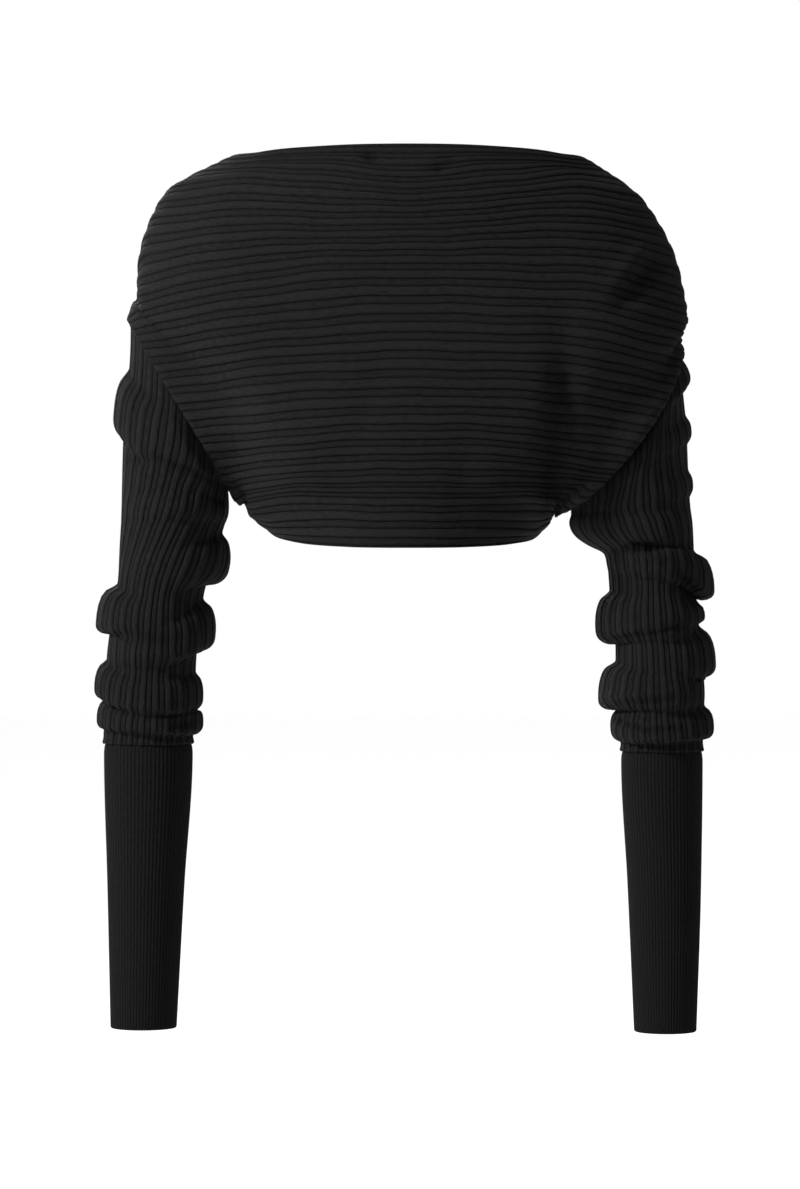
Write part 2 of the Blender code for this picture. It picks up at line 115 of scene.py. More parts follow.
# Height of a fold's crest on four sides of the arm, how far it stands out there, half the height of the
# fold, and how far it hangs down for each metre that it stands out.
Fold = namedtuple("Fold", "z_outer z_back z_inner z_front outer back inner front half_height droop")
FOLDS = {
    "left": [
        Fold(-0.182, -0.212, -0.236, -0.205, 0.0100, 0.0060, 0.0040, 0.0060, 0.026, 1.0),
        Fold(-0.258, -0.260, -0.262, -0.255, 0.0000, 0.0032, 0.0012, 0.0030, 0.011, 0.7),
        Fold(-0.306, -0.309, -0.308, -0.303, 0.0000, 0.0012, 0.0110, 0.0050, 0.018, 1.1),
        Fold(-0.350, -0.350, -0.350, -0.350, 0.0160, 0.0030, 0.0000, 0.0070, 0.0155, 1.0),
        Fold(-0.368, -0.372, -0.361, -0.364, 0.0005, 0.0048, 0.0125, 0.0060, 0.018, 1.0),
        Fold(-0.402, -0.413, -0.410, -0.407, 0.0095, 0.0042, 0.0065, 0.0070, 0.014, 1.0),
        Fold(-0.427, -0.436, -0.431, -0.430, 0.0065, 0.0030, 0.0070, 0.0060, 0.012, 0.8),
    ],
    "right": [
        Fold(-0.152, -0.175, -0.215, -0.190, 0.0075, 0.0018, 0.0010, 0.0050, 0.015, 0.3),
        Fold(-0.197, -0.215, -0.235, -0.225, 0.0040, 0.0008, 0.0010, 0.0050, 0.012, 0.3),
        Fold(-0.240, -0.250, -0.255, -0.250, 0.0035, 0.0005, 0.0000, 0.0040, 0.011, 0.3),
        Fold(-0.270, -0.280, -0.281, -0.280, 0.0000, 0.0048, 0.0045, 0.0030, 0.014, 1.0),
        Fold(-0.324, -0.305, -0.296, -0.314, 0.0160, 0.0052, 0.0005, 0.0080, 0.0145, 1.0),
        Fold(-0.345, -0.343, -0.342, -0.343, 0.0060, 0.0004, 0.0000, 0.0020, 0.008, 0.6),
        Fold(-0.346, -0.351, -0.356, -0.352, 0.0000, 0.0048, 0.0125, 0.0070, 0.018, 1.1),
        Fold(-0.382, -0.381, -0.380, -0.386, 0.0120, 0.0012, 0.0000, 0.0080, 0.018, 1.0),
        Fold(-0.404, -0.409, -0.411, -0.413, 0.0005, 0.0056, 0.0140, 0.0070, 0.015, 1.1),
        Fold(-0.435, -0.441, -0.436, -0.438, 0.0080, 0.0045, 0.0055, 0.0070, 0.012, 0.9),
    ],
}
ROLL_UNDER = 0.35          # how far below its crest a fold hangs lowest, in half heights
SLEEVE_END = {"left": -0.4460, "right": -0.4520}
SLEEVE_OPENING = 0.22      # share of the sleeve's length where the armhole's oval becomes the arm's
SEAM_EASE = 0.07           # share below the seam where the folds begin
SLEEVE_CLOSING = 0.05      # share at the end where it closes on the cuff
CLOSED_BY = 0.6            # part of that share after which it lies on the cuff
TUCK_INSET = 0.0020

CUFFS = {
    "left": [Section(-0.442, 0.2410, 0.1744, 0.0303), Section(-0.454, 0.2432, 0.1722, 0.0325),
             Section(-0.560, 0.2405, 0.1788, 0.0290), Section(-0.6735, 0.2380, 0.1850, 0.0250)],
    "right": [Section(-0.448, 0.2335, 0.1727, 0.0288), Section(-0.460, 0.2357, 0.1705, 0.0310),
              Section(-0.560, 0.2345, 0.1756, 0.0280), Section(-0.6765, 0.2308, 0.1808, 0.0245)],
}

# ---------------------------------------------------------------- the knit
# Cross-section of one rib repeat: a wide raised rib between two grooves, then a low band. `at` runs
# from the middle of the low band (0) to the middle of the rib (0.5); `height` is in relief heights, and
# `shade` is painted shade: how much of the yarn's full tone shows, less down in the grooves.
Profile = namedtuple("Profile", "at height shade")
RIB_PROFILE = [Profile(0.0, 0.55, 0.84), Profile(0.09, 0.52, 0.74), Profile(0.165, 0.44, 0.68),
               Profile(0.205, 0.06, 0.30), Profile(0.235, 0.08, 0.30), Profile(0.275, 0.66, 0.74),
               Profile(0.37, 0.94, 0.94), Profile(0.5, 1.0, 1.0)]
# The cuff's ribs; their `shade` is painted shade in the grooves as well.
CUFF_PROFILE = [Profile(0.0, 0.0, 0.4), Profile(0.17, 0.55, 0.75), Profile(0.34, 0.92, 1.0),
                Profile(0.5, 1.0, 1.0)]
BODY_REPEATS = 27.33
BODY_START = -0.05         # place in a repeat where the neck edge falls
BODY_RELIEF = 0.0016
SEAM_RELIEF, SEAM_FLAT = 0.35, 0.004       # how much of the relief is left at a seam, and from how far
SLEEVE_REPEATS = 24
SLEEVE_RELIEF = 0.0014
SLEEVE_PAINTED_SHADE = 0.85         # painted shade: the sleeves' yarn keeps this share of its tone, so they lie darker than the back
CUFF_REPEATS = 68
CUFF_RELIEF = 0.0005
BODY_ACROSS = 0.40         # cloth across the panel's ribs, for the stitches
SLEEVE_ROUND = 0.30        # cloth round a sleeve
CUFF_ROUND = 0.19          # cloth round a cuff
RIM_BULGE = 0.5            # how round a cut edge is: 0 is flat, 0.5 a half circle
BODY_COLUMNS = 56
SURFACE_ROWS = 400         # rows of the smooth panel that the ribs are laid on
BODY_EDGE_STEPS = (0.0, 0.0012, 0.0035, 0.0070)    # distances from the armhole's edge
SLEEVE_RINGS = 142
CUFF_RINGS = 60

# Height of each rib of the back at the centre line, and how far it drops below that at the last three
# of these distances to either side.
Drop = namedtuple("Drop", "across height left_near left_mid left_far right_near right_mid right_far")
DROP_STATIONS = (0.0, 0.079, 0.141, 0.203)
DROPS = [
    Drop(0.000, 0.0250, -0.008, -0.012, -0.008, -0.008, -0.016, -0.012),
    Drop(0.130, -0.0097, -0.008, -0.012, -0.008, -0.008, -0.016, -0.012),
    Drop(0.200, -0.0280, -0.003, -0.006, -0.004, -0.007, -0.012, -0.007),
    Drop(0.280, -0.0485, 0.001, 0.001, 0.008, -0.004, -0.007, 0.001),
    Drop(0.385, -0.0794, 0.002, 0.010, 0.020, 0.001, 0.002, 0.013),
    Drop(0.460, -0.1072, 0.004, 0.011, 0.018, 0.001, 0.004, 0.015),
    Drop(0.605, -0.1638, 0.003, 0.007, 0.014, 0.002, 0.005, 0.016),
    Drop(0.680, -0.1930, 0.003, 0.007, 0.013, 0.002, 0.007, 0.016),
    Drop(0.750, -0.2160, 0.002, 0.008, 0.014, 0.000, 0.008, 0.015),
    Drop(0.825, -0.2387, 0.001, 0.007, 0.012, 0.000, 0.001, 0.006),
    Drop(0.895, -0.2553, -0.001, 0.002, 0.005, -0.001, -0.003, 0.000),
    Drop(1.000, -0.2912, 0.000, 0.001, 0.002, 0.000, -0.001, 0.000),
]
# Small waves on the drops, in metres, and how far from the centre line they have come up in full.
Wave = namedtuple("Wave", "size over_x over_rib phase")
WAVES = [Wave(0.0006, 57, 21, 0), Wave(0.0003, 113, -29, 1)]
WAVE_EASE = 0.03
# Soft hollows (depth above 0) and ridges (below 0) of the back, each along a line in x and z, and in
# `shadow` how much of the yarn's tone each one takes away as painted shade in the hollow.
Dent = namedtuple("Dent", "x_start z_start x_end z_end width depth shadow")
DENTS = [
    Dent(0.122, -0.160, 0.118, -0.262, 0.013, 0.0100, 0.38),
    Dent(0.120, -0.110, 0.121, -0.170, 0.014, 0.003, 0.1),
    Dent(0.188, -0.052, 0.160, -0.088, 0.008, -0.0038, 0.0),
    Dent(0.197, -0.066, 0.166, -0.100, 0.008, 0.0048, 0.32),
    Dent(-0.160, -0.240, -0.120, -0.205, 0.014, 0.0018, 0.0),
    Dent(-0.031, 0.016, -0.026, 0.011, 0.0036, 0.0045, 0.9),
    Dent(0.031, 0.012, 0.022, 0.002, 0.0030, 0.0034, 0.6),
    Dent(-0.060, -0.265, -0.020, -0.150, 0.016, 0.0012, 0.0),
    Dent(0.040, -0.275, 0.046, -0.200, 0.012, 0.0014, 0.0),
    Dent(-0.110, -0.080, -0.050, -0.030, 0.018, 0.0014, 0.0),
]
# The same on the backs of the sleeves: pockets under the folds, with painted shade in them, and the sharp
# ridges above them.
CREASES = {
    "left": [
        Dent(-0.220, -0.2225, -0.193, -0.2225, 0.0035, 0.0018, 0.25),
        Dent(-0.193, -0.2225, -0.150, -0.2400, 0.0035, 0.0022, 0.35),
        Dent(-0.150, -0.2400, -0.147, -0.2580, 0.0060, 0.0030, 0.45),
        Dent(-0.226, -0.3595, -0.179, -0.3640, 0.0055, 0.0026, 0.30),
        Dent(-0.215, -0.3745, -0.166, -0.3765, 0.0035, -0.0022, 0.0),
        Dent(-0.237, -0.4135, -0.166, -0.4215, 0.0032, -0.0024, 0.0),
        Dent(-0.188, -0.4330, -0.170, -0.4285, 0.0040, 0.0022, 0.40)],
    "right": [
        Dent(0.175, -0.2900, 0.198, -0.2915, 0.0032, 0.0034, 0.55),
        Dent(0.176, -0.2975, 0.207, -0.2990, 0.0032, -0.0026, 0.0),
        Dent(0.215, -0.3120, 0.2290, -0.3290, 0.0065, 0.0045, 0.85),
        Dent(0.158, -0.3650, 0.1958, -0.3590, 0.0030, 0.0022, 0.40),
        Dent(0.1958, -0.3590, 0.220, -0.3510, 0.0030, 0.0022, 0.35),
        Dent(0.155, -0.4095, 0.215, -0.4040, 0.0035, -0.0026, 0.0),
        Dent(0.165, -0.4165, 0.205, -0.4120, 0.0040, 0.0020, 0.28),
        Dent(0.158, -0.4190, 0.167, -0.4300, 0.0050, 0.0030, 0.45),
        Dent(0.167, -0.4280, 0.188, -0.4355, 0.0028, 0.0020, 0.50),
        Dent(0.188, -0.4355, 0.221, -0.4330, 0.0028, 0.0020, 0.45)],
}
END_FADE = 0.5             # how much weaker a dent is at its two ends
# How squarely cloth faces back where dents begin, and how much more it takes for their full depth.
DENT_FACING, DENT_FULL = 0.05, 0.35
# Shadow on a sleeve under the panel's edge: how deep, and how far down. Away from the back it is less.
Shadow = namedtuple("Shadow", "depth reach")
SEAM_SHADOW = {"left": Shadow(0.45, 0.006), "right": Shadow(0.85, 0.012)}
SHADOW_ROUND = 0.3         # least part of it that is left there
FACING = 0.25              # how squarely the panel faces back where the drops still hold
TURN_SPANS = (0.30, 0.16)  # how far past there, toward the neck edge and the hem, the ribs even out
EDGE_SPAN = 0.07           # the same from the neck edge and the hem themselves
DROP_PASSES = 8            # rounds to find the rib at a place, since its drop depends on the rib
MOST_SHIFT = 0.12          # the furthest a rib moves across the panel
BLUR_PASSES = 10           # how much the shifts are evened out past where the drops hold
SETTLE_REACH = 6           # columns to either side over which the end of that stretch is evened out
KEEP_APART = 0.02          # least spacing of the moved ribs, as a part of the old one

# Where the ribs lean on their way down a sleeve: turn round the arm in degrees.
Lean = namedtuple("Lean", "z turn")
LEANS = {
    "left": [Lean(-0.10, 0), Lean(-0.19, 0), Lean(-0.24, -7), Lean(-0.275, -16), Lean(-0.345, -36),
             Lean(-0.38, -32), Lean(-0.45, -34)],
    "right": [Lean(-0.10, 0), Lean(-0.17, -2), Lean(-0.27, -17), Lean(-0.36, -12), Lean(-0.45, -16)],
}

# ---------------------------------------------------------------- the yarn
# Tone is the yarn's grey, wale a stitch column's width, course a stitch's height, bump the stitches' depth.
Yarn = namedtuple("Yarn", "tone wale course bump")
RIB_YARN = Yarn(0.0054, 0.0020, 0.0017, 0.0005)
CUFF_YARN = Yarn(0.0027, 0.0014, 0.0013, 0.0003)
STITCH_SLANT = 1.3                     # how far the legs of a V lean, in stitches
LEG_SHAPE, TURN_SHAPE = 0.5, 0.6       # how square a leg is across and along: 0 is square, 1 a sine
# painted shade between the stitches: how much more tone the raised legs of a stitch get than the gaps
STITCH_PAINTED_SHADE = 0.60
GRAIN_LONG, GRAIN_WIDE = 3.2, 0.7      # size of the yarn's streaks, in stitches
GRAIN_TONE, GRAIN_BASE = 1.9, -0.40
CLOUD_SCALE, CLOUD_TONE, CLOUD_BASE = 26.0, 0.30, 0.85     # large soft patches
FUZZ_SCALE, FUZZ_HEIGHT = 2400.0, 0.5                      # loose fibres

# ---------------------------------------------------------------- the stage
LENS, SENSOR = 121.1, 36.0             # millimetres
CAMERA_AT = (-0.0064, -3.2, -0.328)
FLOOR_Z, FLOOR_SIZE = -1.35, 60
PAPER = (0.98, 0.98, 0.98)
PAPER_ROUGHNESS = 0.9
Light = namedtuple("Light", "name at target size power")
LIGHTS = [
    Light("key", (-3.6, -2.2, 2.15), (0, 0, -0.2), 1.0, 1040),
    Light("front_fill", (-1.5, 3.2, 1.2), (0, 0, -0.3), 1.6, 130),
]


# ---------------------------------------------------------------- smooth readings of the tables
def hermite(p0, p1, m0, m1, t):
    """Point of the curve from p0 to p1 with slopes m0 and m1 at its ends; t runs from 0 to 1."""
    t2, t3 = t * t, t * t * t
    return (p0 * (2 * t3 - 3 * t2 + 1) + m0 * (t3 - 2 * t2 + t)
            + p1 * (3 * t2 - 2 * t3) + m1 * (t3 - t2))


def smooth(t):
    """Soft step from 0 to 1."""
    t = np.clip(t, 0.0, 1.0)
    return t * t * (3 - 2 * t)


def hump(t):
    """Round hump: 1 in the middle and 0 from 1 away on."""
    return (1 - np.clip(np.abs(t), 0, 1) ** 3) ** 2


def read(rows, key, column, at):
    """Values of a column at places along the key column, by a smooth curve through the rows."""
    keys = np.array([getattr(row, key) for row in rows], float)
    values = np.array([getattr(row, column) for row in rows], float)
    if keys[0] > keys[-1]:
        keys, values = keys[::-1], values[::-1]
    at = np.clip(np.asarray(at, float), keys[0], keys[-1])
    steps = np.diff(values) / np.diff(keys)
    slopes = np.empty(len(keys))
    slopes[0], slopes[-1] = steps[0], steps[-1]
    before, after = steps[:-1], steps[1:]
    same = before * after > 0
    total = np.where(same, before + after, 1.0)
    slopes[1:-1] = np.where(same, 2 * before * after / total, 0.0)
    i = np.clip(np.searchsorted(keys, at, side="left") - 1, 0, len(keys) - 2)
    width = keys[i + 1] - keys[i]
    return hermite(values[i], values[i + 1], slopes[i] * width, slopes[i + 1] * width,
                   (at - keys[i]) / width)


def round_arm(fold, prefix, angle):
    """Blend a fold's four side values round the arm: outer 0, back 90, inner 180, front 270 degrees."""
    sides = np.array([getattr(fold, prefix + name) for name in ("outer", "back", "inner", "front")])
    turn = (angle / (math.pi / 2)) % 4
    first = np.floor(turn).astype(int) % 4
    share = smooth(turn - np.floor(turn))
    return sides[first] * (1 - share) + sides[(first + 1) % 4] * share


def unit(v):
    """Vectors made one long."""
    return v / np.maximum(np.linalg.norm(v, axis=-1, keepdims=True), TINY)


def stack(x, y, z):
    """Points from their coordinates; one that is the same for all may be a single number."""
    return np.stack(np.broadcast_arrays(x, y, z), axis=-1)


# ---------------------------------------------------------------- armhole
def armhole_point(armhole, angle):
    """Point of the armhole's oval: outer 0, back 90, underarm 180 degrees."""
    outer = np.array([armhole.outer_x, armhole.outer_z])
    under = np.array([armhole.under_x, armhole.under_z])
    middle, reach = (outer + under) / 2, (outer - under) / 2
    sideways = np.array([-reach[1], reach[0]]) / np.linalg.norm(reach) * -armhole.bow
    back = np.maximum(np.sin(angle), 0.0) ** BOW_SHARPNESS
    x = middle[0] + reach[0] * np.cos(angle) + sideways[0] * back
    z = middle[1] + reach[1] * np.cos(angle) + sideways[1] * back
    return stack(x * armhole.side, -armhole.half_depth * np.sin(angle), z)


def arm_outward(armhole, angle):
    """Level direction away from the arm's middle."""
    return stack(armhole.side * np.cos(angle), -np.sin(angle), 0.0)


def rib_angle(across):
    """Angle round the armhole where the rib at a place across the panel ends."""
    half_gap = OPENING_GAP / 2 / ARMHOLES["left"].half_depth
    knots = [0.0, OUTER_RIB, UNDERARM_RIB, 1.0]
    angles = [MEET_ANGLE - 2 * math.pi + half_gap, 0.0, math.pi, MEET_ANGLE - half_gap]
    return np.interp(across, knots, angles)


# ---------------------------------------------------------------- body panel
def spline(stations, heading):
    """Dense curves through rows of stations; `heading` is how far the first step reaches sideways."""
    pairs = list(zip(stations, stations[1:]))
    spans = [np.sqrt(np.linalg.norm(b - a, axis=1, keepdims=True)) for a, b in pairs]
    steps = [(b - a) / span for (a, b), span in zip(pairs, spans)]
    slopes = [heading / spans[0]]
    for n in range(1, len(stations) - 1):
        middle = (stations[n + 1] - stations[n - 1]) / (spans[n] + spans[n - 1])
        slopes.append(steps[n - 1] + steps[n] - middle)
    slopes.append(steps[-1])
    curve = [stations[0]]
    for n, span in enumerate(spans):
        for k in range(1, RIB_STEPS + 1):
            curve.append(hermite(stations[n], stations[n + 1], slopes[n] * span, slopes[n + 1] * span,
                                 k / RIB_STEPS))
    return np.stack(curve, axis=1)


def rib_curves(name, across):
    """Dense curves from the centre of the back to one armhole, one for each place across the panel."""
    armhole = ARMHOLES[name]
    angle = rib_angle(across)
    value = {column: read(RIBS, "across", column, across) for column in Rib._fields[1:]}
    centre = stack(0.0, value["back_y"], value["back_z"])
    turn = stack(value[name + "_x"] * armhole.side, value["turn_y"], value[name + "_z"])
    end = armhole_point(armhole, angle)
    climb = np.radians(read(EDGES, "angle", f"{name}_climb", np.degrees(angle)))
    heading = unit(stack(armhole.side * np.cos(climb), ARRIVAL_SPLAY * np.sin(angle), np.sin(climb)))
    arrival = end - heading * ARRIVAL
    front = (turn + arrival) / 2
    front[:, 1] += value["front"]
    stations = [centre]
    for share_x, share_y, share_z in BLADE_STATIONS:
        stations.append(stack(turn[:, 0] * share_x, centre[:, 1] + (turn[:, 1] - centre[:, 1]) * share_y,
                              centre[:, 2] + (turn[:, 2] - centre[:, 2]) * share_z))
    stations += [turn, front, arrival, end]
    return spline(stations, stack(stations[1][:, 0], 0.0, 0.0))


def half_body(name, across):
    """Grid of points from the centre of the back to one armhole, and their distances from the armhole."""
    curves = rib_curves(name, across)
    steps = np.linalg.norm(np.diff(curves, axis=1), axis=2)
    along = np.concatenate([np.zeros((len(curves), 1)), np.cumsum(steps, axis=1)], axis=1)
    inner = BODY_EDGE_STEPS[-1]
    grid, distances = [], []
    for curve, line in zip(curves, along):
        length = line[-1]
        even = length - (length - inner) * np.arange(BODY_COLUMNS) / BODY_COLUMNS
        distance = np.concatenate([even, BODY_EDGE_STEPS[::-1]])
        grid.append(np.stack([np.interp(length - distance, line, curve[:, i]) for i in range(3)], axis=1))
        distances.append(distance)
    return np.array(grid), np.array(distances)


def grid_normals(grid, closed=False):
    """Normals of a grid, from its rows and columns."""
    if closed:
        along = np.roll(grid, -1, axis=1) - np.roll(grid, 1, axis=1)
    else:
        along = np.gradient(grid, axis=1)
    return unit(np.cross(np.gradient(grid, axis=0), along))


def raise_edge(name, grid, distances, across):
    """Lift the panel over the sleeve's tucked band at the armhole, and puff it out behind the edge."""
    armhole = ARMHOLES[name]
    angle = rib_angle(across)
    normals = grid_normals(grid) * armhole.side
    outward = arm_outward(armhole, angle)
    overlap = np.maximum((normals[:, -1] * outward).sum(axis=1), 0)
    lift = outward * (SEAM_GAP + LAP_MARGIN + RIB_WALL * overlap)[:, None]
    puff = read(EDGES, "angle", f"{name}_puff", np.degrees(angle))[:, None]
    near = 1 - smooth(distances / LIFT_REACH)
    swell = np.clip(distances / PUFF_REACH, 0, 1)
    bulge = puff * np.sin(math.pi * np.sqrt(swell))
    return grid + lift[:, None, :] * near[..., None] + normals * bulge[..., None]


def profile_places(profile, repeats, start):
    """Places, in repeats, of the profile's rows over a run of ribs."""
    marks = sorted({row.at for row in profile} | {1 - row.at for row in profile if row.at > 0})
    places = [whole + mark for whole in range(math.floor(start), math.ceil(start + repeats) + 1)
              for mark in marks]
    inside = [place for place in places if start < place < start + repeats]
    return np.array([start, *inside, start + repeats])


def across_rib(profile, column, place):
    """A column of the profile at places in repeats."""
    fold = place % 1.0
    fold = np.where(fold > 0.5, 1 - fold, fold)
    return np.interp(fold, [row.at for row in profile], [getattr(row, column) for row in profile])


def rib_drop(name, rib, x):
    """Drop of the ribs at distances x from the centre line."""
    columns = [f"{name}_{station}" for station in ("near", "mid", "far")]
    values = [np.zeros_like(rib)] + [read(DROPS, "across", column, rib) for column in columns]
    slopes = [np.zeros_like(rib)]
    for n in (1, 2):
        slopes.append((values[n + 1] - values[n - 1]) / (DROP_STATIONS[n + 1] - DROP_STATIONS[n - 1]))
    slopes.append((values[3] - values[2]) / (DROP_STATIONS[3] - DROP_STATIONS[2]))
    drop = values[3] + slopes[3] * (x - DROP_STATIONS[3])
    wander = sum(wave.size * np.sin(wave.over_x * x + wave.over_rib * rib + wave.phase) for wave in WAVES)
    for n in range(2, -1, -1):
        span = DROP_STATIONS[n + 1] - DROP_STATIONS[n]
        curve = hermite(values[n], values[n + 1], slopes[n] * span, slopes[n + 1] * span,
                        (x - DROP_STATIONS[n]) / span)
        drop = np.where(x < DROP_STATIONS[n + 1], curve, drop)
    return drop + wander * smooth(x / WAVE_EASE)


def dented(dents, surface, normals):
    """Press soft hollows and ridges into the part of a surface that faces back; also the painted shade
    there.
    """
    back = smooth((-normals[..., 1] - DENT_FACING) / DENT_FULL)
    light = np.ones(surface.shape[:-1])
    for dent in dents:
        start = np.array([dent.x_start, dent.z_start])
        run = np.array([dent.x_end, dent.z_end]) - start
        place = surface[..., [0, 2]] - start
        share = np.clip(place @ run / (run @ run), 0, 1)
        away = np.linalg.norm(place - share[..., None] * run, axis=-1) / dent.width
        press = (1 - END_FADE * np.abs(2 * share - 1) ** 3) * back * np.exp(-away ** 2)
        surface = surface - normals * (dent.depth * press)[..., None]
        # painted shade: each hollow's `shadow` takes tone off the yarn
        light = light * (1 - dent.shadow * press)
    return surface, light


def blur(field, passes):
    """Smooth a field over its neighbours in both directions."""
    for _ in range(passes):
        padded = np.pad(field, 1, mode="edge")
        field = (padded[:-2, 1:-1] + padded[2:, 1:-1] + padded[1:-1, :-2] + padded[1:-1, 2:]
                 + 2 * field) / 6
    return field


def settle(marks):
    """Row marks of neighbouring columns, evened out."""
    count = 2 * SETTLE_REACH + 1
    padded = np.pad(marks.astype(float), SETTLE_REACH, mode="edge")
    return np.convolve(padded, np.full(count, 1 / count), mode="valid").round().astype(int)


def rib_shifts(name, surface, rows):
    """How far each column's rows move across the panel to lie where the ribs' drops put them."""
    facing = -(grid_normals(surface) * ARMHOLES[name].side)[..., 1] > FACING
    x, z = np.abs(surface[..., 0]), surface[..., 2]
    heights = read(DROPS, "across", "height", rows)
    first = settle(facing.argmax(axis=0))
    last = settle(len(rows) - 1 - facing[::-1].argmax(axis=0))
    shifts = []
    for k in range(surface.shape[1]):
        rib = rows.copy()
        for _ in range(DROP_PASSES):
            rib = np.interp(z[:, k] + rib_drop(name, rib, x[:, k]), heights[::-1], rows[::-1])
        shift = np.clip(rib - rows, -MOST_SHIFT, MOST_SHIFT)
        before = 1 - smooth((rows[first[k]] - rows) / TURN_SPANS[0])
        after = 1 - smooth((rows - rows[last[k]]) / TURN_SPANS[1])
        shift = np.where(rows < rows[first[k]], shift[first[k]] * before, shift)
        shifts.append(np.where(rows > rows[last[k]], shift[last[k]] * after, shift))
    shifts = np.array(shifts)
    even = blur(shifts, BLUR_PASSES)
    from_first = smooth((rows - rows[first][:, None]) / EDGE_SPAN)
    to_last = smooth((rows[last][:, None] - rows) / EDGE_SPAN)
    mixed = even + (shifts - even) * (from_first * to_last)
    return mixed * smooth(rows / EDGE_SPAN) * smooth((1 - rows) / EDGE_SPAN)


def lay_ribs(name, surface, fields, rows, across):
    """Lay the ribs on the smooth surface: its rows are drawn again along the ribs' own lines."""
    laid, read_fields = [], []
    for k, shift in enumerate(rib_shifts(name, surface, rows)):
        place = (np.maximum.accumulate(rows + shift) + KEEP_APART * rows) / (1 + KEEP_APART)
        at = np.interp(across, place, rows)
        laid.append(np.stack([np.interp(at, rows, surface[:, k, i]) for i in range(3)], axis=-1))
        read_fields.append([np.interp(at, rows, field[:, k]) for field in fields])
    return np.stack(laid, axis=1), np.moveaxis(np.array(read_fields), 0, 2)


def body_panel():
    """Outer and inner grids of the panel, with its stitch coordinates and painted shade."""
    places = profile_places(RIB_PROFILE, BODY_REPEATS, BODY_START)
    across = (places - BODY_START) / BODY_REPEATS
    rows = np.linspace(0, 1, SURFACE_ROWS)
    halves = []
    for name in ARMHOLES:
        grid, distances = half_body(name, rows)
        surface = raise_edge(name, grid, distances, rows)
        surface, light = dented(DENTS, surface, grid_normals(surface) * ARMHOLES[name].side)
        halves.append(lay_ribs(name, surface, (distances, light), rows, across))
    (left, (left_d, left_light)), (right, (right_d, right_light)) = halves
    base = np.concatenate([left[:, ::-1], right[:, 1:]], axis=1)
    along = np.concatenate([-(left_d[:, :1] - left_d)[:, ::-1], (right_d[:, :1] - right_d)[:, 1:]], axis=1)
    normals = grid_normals(base)
    wide = np.ones(base.shape[1])
    height = across_rib(RIB_PROFILE, "height", places)[:, None] * wide
    light = np.concatenate([left_light[:, ::-1], right_light[:, 1:]], axis=1)
    # painted shade of the grooves and of the dents
    shade = across_rib(RIB_PROFILE, "shade", places)[:, None] * light
    from_seam = np.concatenate([left_d[:, ::-1], right_d[:, 1:]], axis=1)
    raised = BODY_RELIEF * (SEAM_RELIEF + (1 - SEAM_RELIEF) * smooth(from_seam / SEAM_FLAT))
    outer = base + normals * ((height - 1) * raised)[..., None]
    inner = base - normals * RIB_WALL
    uv = np.stack([along, (across * BODY_ACROSS)[:, None] * wide], axis=-1)
    return outer, inner, uv, shade


# ---------------------------------------------------------------- sleeves and cuffs
def tube_point(rows, side, z, angle, grow=0.0):
    """Point of a plain oval tube through a table of sections."""
    outer, inner = read(rows, "z", "outer", z), read(rows, "z", "inner", z)
    half_width, half_depth = (outer - inner) / 2 + grow, read(rows, "z", "half_depth", z) + grow
    return stack(side * ((outer + inner) / 2 + half_width * np.cos(angle)), -half_depth * np.sin(angle), z)


def slouched(folds, side, point, z, angle):
    """Push a tube's points out and down into its folds."""
    outward = stack(side * np.cos(angle), -np.sin(angle), 0.0)
    up = np.array([0.0, 0.0, 1.0])
    for fold in folds:
        reach = round_arm(fold, "", angle)
        crest = round_arm(fold, "z_", angle) + fold.droop * reach
        height = (z - crest) / fold.half_height
        lift = (reach * hump(height))[..., None]
        sink = (reach * hump(height + ROLL_UNDER))[..., None]
        point = point + outward * lift - up * fold.droop * sink
    return point


def sleeve_points(name, share, angle):
    """Points of a sleeve: share 0 is the armhole seam and 1 its lower edge, below 0 the tucked band."""
    armhole, rows = ARMHOLES[name], SLEEVES[name]
    seam = armhole_point(armhole, angle)
    z = seam[..., 2] + (SLEEVE_END[name] - seam[..., 2]) * share
    tube = tube_point(rows, armhole.side, z, angle)
    start = stack(seam[..., 0], seam[..., 1], z)
    point = start + (tube - start) * smooth(share / SLEEVE_OPENING)[..., None]
    folded = slouched(FOLDS[name], armhole.side, point, z, angle)
    point = point + (folded - point) * smooth(share / SEAM_EASE)[..., None]
    closing = smooth((share - 1 + SLEEVE_CLOSING) / (SLEEVE_CLOSING * CLOSED_BY))[..., None]
    over_cuff = tube_point(CUFFS[name], armhole.side, z, angle, grow=RIB_WALL + SEAM_GAP)
    point = point + (over_cuff - point) * closing
    tucked = seam - arm_outward(armhole, angle) * TUCK_INSET + np.array([0, 0, SEAM_TUCK])
    tucked[..., 0] -= armhole.side * BACK_TUCK[name] * np.sqrt(np.maximum(np.sin(angle), 0.0))
    return np.where(share[..., None] < 0, tucked, point)


